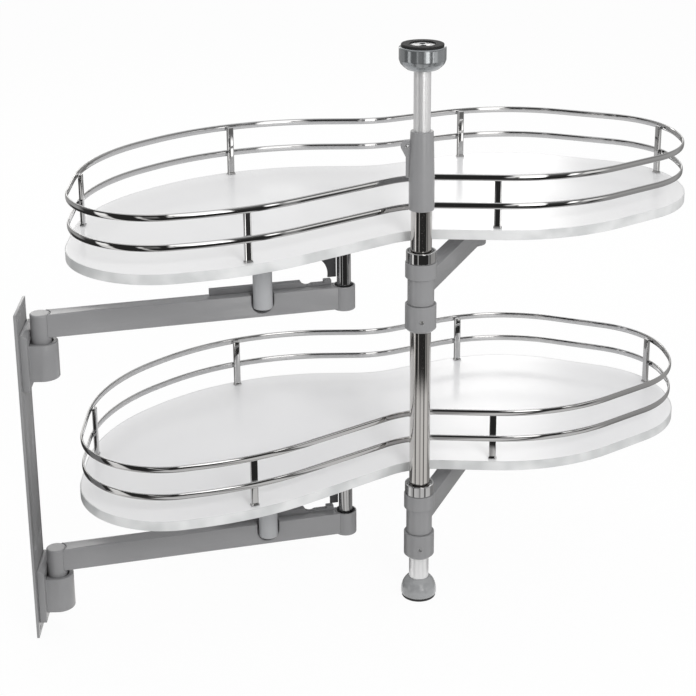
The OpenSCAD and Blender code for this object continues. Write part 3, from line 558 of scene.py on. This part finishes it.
chrome = surface("chrome_plate", (0.56, 0.56, 0.565), (0.60, 0.598, 0.595), scales=(120, 12),
                 rough=(0.03, 0.06), relief=0.0006, Metallic=1.0)
tube_chrome = surface("tube_chrome", (0.60, 0.585, 0.57), (0.64, 0.625, 0.61), scales=(300, 12),
                      rough=(0.06, 0.1), relief=0.001, Metallic=1.0)
tube = rounded(wall(tube_bore_r, tube_r, stem_top, tube_top), 0.3)
stands_for(lathe("column_tube", tube, sides=144), tube_chrome)
collar = rounded([(on_tube_r, collar_foot), (collar_r - collar_bevel, collar_foot),
                  (collar_r, collar_foot + collar_bevel), (collar_r, collar_top), (on_tube_r, collar_top)],
                 [0.3, 0.6, 1.0, 0.7, 0.3])
stop_ring = rounded([(on_tube_r, ring_foot), (ring_r, ring_foot), (ring_r, ring_top),
                     (ring_lip_r, ring_top), (ring_lip_r, ring_seat), (on_tube_r, ring_seat)],
                    [0.3, 0.8, 0.8, 0.4, 0.4, 0.3])
for level, top in levels:
    collar_piece = lathe(level + "_set_collar", with_rows(collar, 1.6), base=top, sides=128)
    drilled(collar_piece, [((0, -21, top + grub_z), (0, 7, 0), grub_hole_r)])
    stands_for(collar_piece, powder_coat)
    stands_for(lathe(level + "_stop_ring", stop_ring, base=top, sides=128), chrome)
stands_for(flat_sided("grub_screws", 0.15), zinc)

# ---- Column arms ---------------------------------------------------------------------------------
# A hub with a wide head turns on the column, and a rectangular bar runs from it to the pivot under the
# tray. Cast and coated like the wall arms; the pivot pin with its wide flange is zinc plated.
hub_r, hub_neck_r, hub_bore_r = 18.7, 15.85, 14.2
hub_top, hub_step, hub_foot = -30.8, -49.8, -82.8
hub = rounded([(hub_bore_r, hub_foot), (hub_neck_r, hub_foot), (hub_neck_r, hub_step), (hub_r, hub_step),
               (hub_r, hub_top), (hub_bore_r, hub_top)], [0.2, 0.5, 1.0, 0.8, 0.9, 0.2])
for level, top in levels:
    stands_for(lathe(level + "_column_hub", hub, base=top, sides=128), powder_coat)
    stands_for(flat_sided(level + "_column_bar", 1.1), powder_coat)
    stands_for(flat_sided(level + "_pivot_pin", 0.4), zinc)
    stands_for(flat_sided(level + "_hub_bush", 0.2), bush_black)

# ---- Clamp sleeve --------------------------------------------------------------------------------
# Grey sleeve that joins the column tube to the inner tube. It narrows upwards, and an ear with a screw
# on its left side clamps the inner tube at the height of the cabinet.
inner_r = 9.9
on_inner_r = inner_r + 0.05
sleeve_r, sleeve_foot, sleeve_top = 15, 505, 599
ear_x, ear_z, ear_r, ear_thick, ear_hole_r = -17.5, 581, 7, 4, 2.02
sleeve = rounded([(on_inner_r, tube_top + 0.2), (on_tube_r, tube_top + 0.2), (on_tube_r, sleeve_foot),
                  (sleeve_r, sleeve_foot), (sleeve_r, 535), (14.6, 561.4), (13.3, sleeve_top),
                  (on_inner_r, sleeve_top)], [0.2, 0.2, 0.3, 1.4, 6, 20, 1.2, 0.3], steps=6)
stands_for(lathe("clamp_sleeve", sleeve, sides=128), powder_coat)
ear_turn = np.radians(np.linspace(90, 196, 16))
ear = np.vstack([np.column_stack([ear_x + ear_r * np.cos(ear_turn), ear_z + ear_r * np.sin(ear_turn)]),
                 [(-22.0, 574.6), (-18.5, 568), (-18.5, 545), (-17.2, 543.4), (-13.2, 543.4),
                  (-11.5, 588)]])
shape = bmesh.new()
face = shape.faces.new([shape.verts.new((x * MM, ear_thick / 2 * MM, z * MM)) for x, z in ear])
made = bmesh.ops.extrude_face_region(shape, geom=[face])["geom"]
far_side = [thing for thing in made if isinstance(thing, bmesh.types.BMVert)]
bmesh.ops.translate(shape, verts=far_side, vec=(0, -ear_thick * MM, 0))
ear_piece = drilled(new_piece("clamp_ear", shape), [((ear_x, -5, ear_z), (0, 10, 0), ear_hole_r)])
stands_for(soften(ear_piece, 0.7, sharp=40), powder_coat, "clamp_sleeve")
stands_for(flat_sided("clamp_screw", 0.15), zinc)

# ---- Top of the column ---------------------------------------------------------------------------
# Satin inner tube, the glossy cup on it, a rubber ring that presses against the cabinet's top, and in
# the middle a turned disc with two holes for the key that screws the column out.
inner_bore_r, inner_foot, inner_top = 8.4, 475, 684
disc_r, disc_foot, disc_top = 14.5, 689, 698.5
cup_r, cup_foot, cup_rim = 27, 670, 697
cup_bore_r, cup_mouth_r = inner_r + 0.02, disc_r + 0.02
pad_bore_r, pad_r, pad_top = 14.9, 24.6, 700
key_hole_y, key_hole_r = 6, 3.5


def disc_metal():
    """Turned zinc disc: fine rings round its axis in bump, on top of the plating's grain."""
    ring_scale, ring_depth = 520, 0.03  # about 1.7 rings a millimetre
    material = surface("turned_disc", (0.58, 0.59, 0.60), (0.70, 0.70, 0.70), scales=(900, 900),
                       rough=(0.2, 0.3), relief=0.004, Metallic=1.0)
    nodes, links = material.node_tree.nodes, material.node_tree.links
    place = nodes.new("ShaderNodeTexCoord")
    rings = nodes.new("ShaderNodeTexWave")
    rings.wave_type = "RINGS"
    rings.rings_direction = "Z"
    rings.inputs["Scale"].default_value = ring_scale
    links.new(place.outputs["Object"], rings.inputs["Vector"])
    bump = nodes.new("ShaderNodeBump")
    bump.inputs["Distance"].default_value = ring_depth * MM
    links.new(rings.outputs["Fac"], bump.inputs["Height"])
    links.new(nodes["Bump"].outputs[0], bump.inputs["Normal"])
    links.new(bump.outputs[0], nodes["Principled BSDF"].inputs["Normal"])
    return material


inner = rounded(wall(inner_bore_r, inner_r, inner_foot, inner_top), 0.25)
stands_for(lathe("inner_tube", inner, sides=128), satin)
cup = rounded([(cup_bore_r, cup_foot), (13.9, cup_foot), (17.9, 670.8), (22, 674), (25.4, 677.5),
               (cup_r, 682), (cup_r, cup_rim), (cup_mouth_r, cup_rim), (cup_mouth_r, disc_foot),
               (cup_bore_r, inner_top)], [0.2, 2, 3, 4, 5, 4, 2.0, 0.2, 0.2, 0], steps=6)
stands_for(lathe("top_cup", cup, sides=128), cup_gloss)
pad = rounded(wall(pad_bore_r, pad_r, cup_rim, pad_top), [0.1, 0.4, 1.1, 0.5])
stands_for(lathe("top_pad", pad, sides=128), rubber)
disc_piece = lathe("top_disc", rounded(wall(0, disc_r, disc_foot, disc_top), [0, 0.3, 0.6, 0]), sides=128)
drilled(disc_piece, [((0, y, disc_foot + 3), (0, 0, 9), key_hole_r) for y in (-key_hole_y, key_hole_y)])
stands_for(disc_piece, disc_metal())

# ---- Tray boards ---------------------------------------------------------------------------------
# 12 mm chipboard in the outline of a kidney, white laminate with a soft gloss on both faces, and a pale
# grey plastic band, 1.2 mm, glued round its edge.
board_thick, band_thick = 12, 1.2
kidney_corners = np.array([(-411, -152), (-190, -99), (-9, 27), (176, 9), (354, 134),
                           (345, 288), (131, 385), (-42, 307), (-238, 311), (-409, 136)], float)
kidney_radii = (110, 350, 90, 225, 121, 120, 200, 120, 300, 245)


def kidney(step=1.5):
    """Outline of a tray, anticlockwise, as points and outward normals. Straight lines join arcs that are
    tangent to both sides of each corner and are cut into equal turns of about step degrees."""
    points, normals = [], []
    for k, (p, r) in enumerate(zip(kidney_corners, kidney_radii)):
        before, after = kidney_corners[k - 1], kidney_corners[(k + 1) % len(kidney_corners)]
        u, v = (before - p) / np.linalg.norm(before - p), (after - p) / np.linalg.norm(after - p)
        half = math.acos(u @ v) / 2
        side = math.copysign(1, (p - before)[0] * (after - p)[1] - (p - before)[1] * (after - p)[0])
        centre = p + (u + v) / np.linalg.norm(u + v) * r / math.sin(half)
        start = p + u * r / math.tan(half) - centre
        sweep = side * (math.pi - 2 * half)
        count = max(3, math.ceil(abs(math.degrees(sweep)) / step))
        turn = math.atan2(start[1], start[0]) + sweep * np.linspace(0, 1, count + 1)
        way = np.column_stack([np.cos(turn), np.sin(turn)])
        points.append(centre + r * way)
        normals.append(side * way)
    return np.vstack(points), np.vstack(normals)


outline, outward = kidney()


def carried(section, base):
    """Points of a section (inset, z) carried round the outline: outline - inset * normal, and z above
    the base. Rows run along the outline."""
    section = np.asarray(section, float)
    flat = outline[:, None, :] - section[None, :, :1] * outward[:, None, :]
    height = np.broadcast_to(section[:, 1] + base, flat.shape[:2])
    return np.concatenate([flat, height[..., None]], axis=-1).reshape(-1, 3)


def swept(node, section, base):
    """Closed ring: a closed section carried round the outline."""
    return from_points(node, carried(section, base), grid_quads(len(outline), len(section), True, True))


def slab(node, edge_section, base):
    """Plate in the outline's shape: an open edge section carried round it, from the upper face over the
    edge to the lower face, and one whole face over each end of the section."""
    count, rows = len(edge_section), len(outline)
    faces = grid_quads(rows, count, True, False).tolist()
    faces += [(np.arange(rows) * count + end).tolist() for end in (0, count - 1)]
    return from_points(node, carried(edge_section, base), faces)


def band_with_painted_reflections():
    """Pale grey edge band under a soft gloss, with cloudy patches in two greys that are painted
    reflections along its glossy edge.
    """
    # The lighter and darker greys of the patches are painted reflection on the glossy edge, not the band's
    # own colour.
    material = surface("edge_band", (0.56, 0.57, 0.57), (0.72, 0.725, 0.725), scales=(300, 300),
                       rough=(0.3, 0.4), relief=0.01, patches=24.0)
    drift = next(node for node in material.node_tree.nodes if node.type == "VALTORGB")
    drift.color_ramp.interpolation = "EASE"
    return material


laminate = surface("white_laminate", (0.86, 0.86, 0.868), (0.885, 0.885, 0.89), scales=(260, 260),
                   rough=(0.16, 0.2), relief=0.004, patches=5.0, IOR=1.5)
band = band_with_painted_reflections()
# The board meets the band in a shallow groove: (inset, z) from the upper face over the edge to the lower
upper_edge = [(band_thick + 1.0, 0), (band_thick + 0.5, 0), (band_thick + 0.05, -0.02), (band_thick, -0.1)]
board_edge = upper_edge + [(inset, -board_thick - z) for inset, z in reversed(upper_edge)]
band_section = rounded([(0, 0), (band_thick, 0), (band_thick, -board_thick), (0, -board_thick)],
                       [0.55, 0.08, 0.08, 0.55])
for level, top in levels:
    stands_for(slab(level + "_board", board_edge, top), laminate)
    stands_for(swept(level + "_edge_band", band_section, top), band)

# ---- Rails and posts -----------------------------------------------------------------------------
# Two flat rails of 3 by 8 mm with full edges run right round each tray, welded to the outside of six
# flat posts. Polished chromed steel; each post has a flared foot and a screw through the board.
rail_inset, rail_thick, rail_height, weld_gap = 4, 3, 8, 0.1
top_rail_z, mid_rail_z = 63, 28.5
post_wide, post_deep, post_height, post_sides = 8.5, 5, 64, 48
post_near = [(-405, 60), (-232, 273), (-197, -89), (76, 351), (92, 24), (328, 256)]
post_inset = rail_inset + rail_thick + post_deep / 2 + weld_gap
# Post's outline from the side: how much wider it is there than its shaft, on each side, and the height
post_profile = np.array([(-0.9, 0), (1, 0), (1, 1.2), (0.7, 2.0), (0.2, 2.6), (0, 4),
                         (0, post_height - 1.4), (-0.35, post_height - 0.4), (-1.2, post_height)])


def squarer(wave, power):
    """A sine or cosine pushed towards a square wave: its sign times its size to a power below 1."""
    return np.sign(wave) * np.abs(wave) ** power


def nearest_side(place):
    """The outline's point nearest to a place, and the direction of its side there: the nearest of every
    side's foot of the perpendicular, which is a + t (b - a) from end a to b, with t held to 0 to 1."""
    runs = np.roll(outline, -1, axis=0) - outline
    squares = np.maximum((runs ** 2).sum(axis=1), 1e-9)
    t = np.clip(((place - outline) * runs).sum(axis=1) / squares, 0, 1)
    feet = outline + t[:, None] * runs
    k = np.argmin(np.linalg.norm(feet - place, axis=1))
    return feet[k], runs[k] / np.linalg.norm(runs[k])


def flat_posts(node, base):
    """Posts inside the outline, each at its point nearest to a chosen place: a superellipse
    cross-section, wide along the rail, carried up the post's profile."""
    turn = np.linspace(0, 2 * math.pi, post_sides, endpoint=False)
    wide = (post_wide / 2 + post_profile[:, :1]) * squarer(np.cos(turn), 0.3)
    deep = (post_deep / 2 + post_profile[:, :1]) * squarer(np.sin(turn), 0.3)
    height = np.broadcast_to(post_profile[:, 1:] + base, wide.shape)
    points, faces = [], []
    for place in post_near:
        foot_point, along = nearest_side(place)
        out = np.array([along[1], -along[0]])
        flat = foot_point - post_inset * out + wide[..., None] * along + deep[..., None] * out
        start = len(points) * height.size
        points.append(np.concatenate([flat, height[..., None]], axis=-1).reshape(-1, 3))
        faces += (grid_quads(len(post_profile), post_sides, False, True) + start).tolist()
        for row in (0, len(post_profile) - 1):
            faces.append(list(range(start + row * post_sides, start + (row + 1) * post_sides)))
    return from_points(node, np.vstack(points), faces)


rail_turn = np.linspace(0, 2 * math.pi, 36, endpoint=False)
rail_middle = rail_inset + rail_thick / 2
rail_section = np.column_stack([rail_middle - rail_thick / 2 * squarer(np.cos(rail_turn), 0.85),
                                rail_height / 2 * squarer(np.sin(rail_turn), 0.86)])
for level, top in levels:
    stands_for(swept(level + "_top_rail", rail_section, top + top_rail_z), chrome)
    stands_for(swept(level + "_mid_rail", rail_section, top + mid_rail_z), chrome)
    stands_for(flat_posts(level + "_posts", top), chrome)
    stands_for(flat_sided(level + "_post_screws", 0.2), zinc)

# ---- Under each tray -----------------------------------------------------------------------------
# A pressed grey carrier plate is screwed under the board. It holds the chromed pin that stands in the
# arm's knuckle, the light grey stop post, the dark catch for the damper, and the ring in which the
# column arm's pin runs.
plate_foot = -16
pin_r, pin_shank_r, pin_shoulder, pin_foot = 8.5, 6, -71.7, -99
stop_post_at = (-186.125, 1.407)
stop_r, stop_flange_r, stop_flange, stop_foot = 11.5, 14.5, -20, -86
catch_plastic = surface("catch_plastic", (0.045, 0.045, 0.048), (0.06, 0.06, 0.063), scales=(1200, 1200),
                        rough=(0.4, 0.52), relief=0.02)
light_coat = surface("light_powder_coat", (0.36, 0.365, 0.375), (0.39, 0.395, 0.405), scales=(1500, 1500),
                     rough=(0.36, 0.46), relief=0.02)
pin = rounded([(0, pin_foot), (pin_shank_r, pin_foot), (pin_shank_r, pin_shoulder), (pin_r, pin_shoulder),
               (pin_r, plate_foot), (0, plate_foot)], [0, 0.6, 0.2, 0.6, 0.2, 0])
stop = rounded([(0, stop_foot), (stop_r, stop_foot), (stop_r, stop_flange), (stop_flange_r, plate_foot),
                (0, plate_foot)], [0, 1.2, 3, 0.3, 0], steps=6)
for level, top in levels:
    stands_for(flat_sided(level + "_carrier_plate", 0.8), powder_coat)
    stands_for(lathe(level + "_tray_pin", pin, at=tray_pin_at, base=top), chrome)
    stands_for(lathe(level + "_stop_post", stop, at=stop_post_at, base=top), light_coat)
    stands_for(flat_sided(level + "_catch_bracket", 0.4), catch_plastic)
    stands_for(flat_sided(level + "_pivot_housing", 0.8), powder_coat)
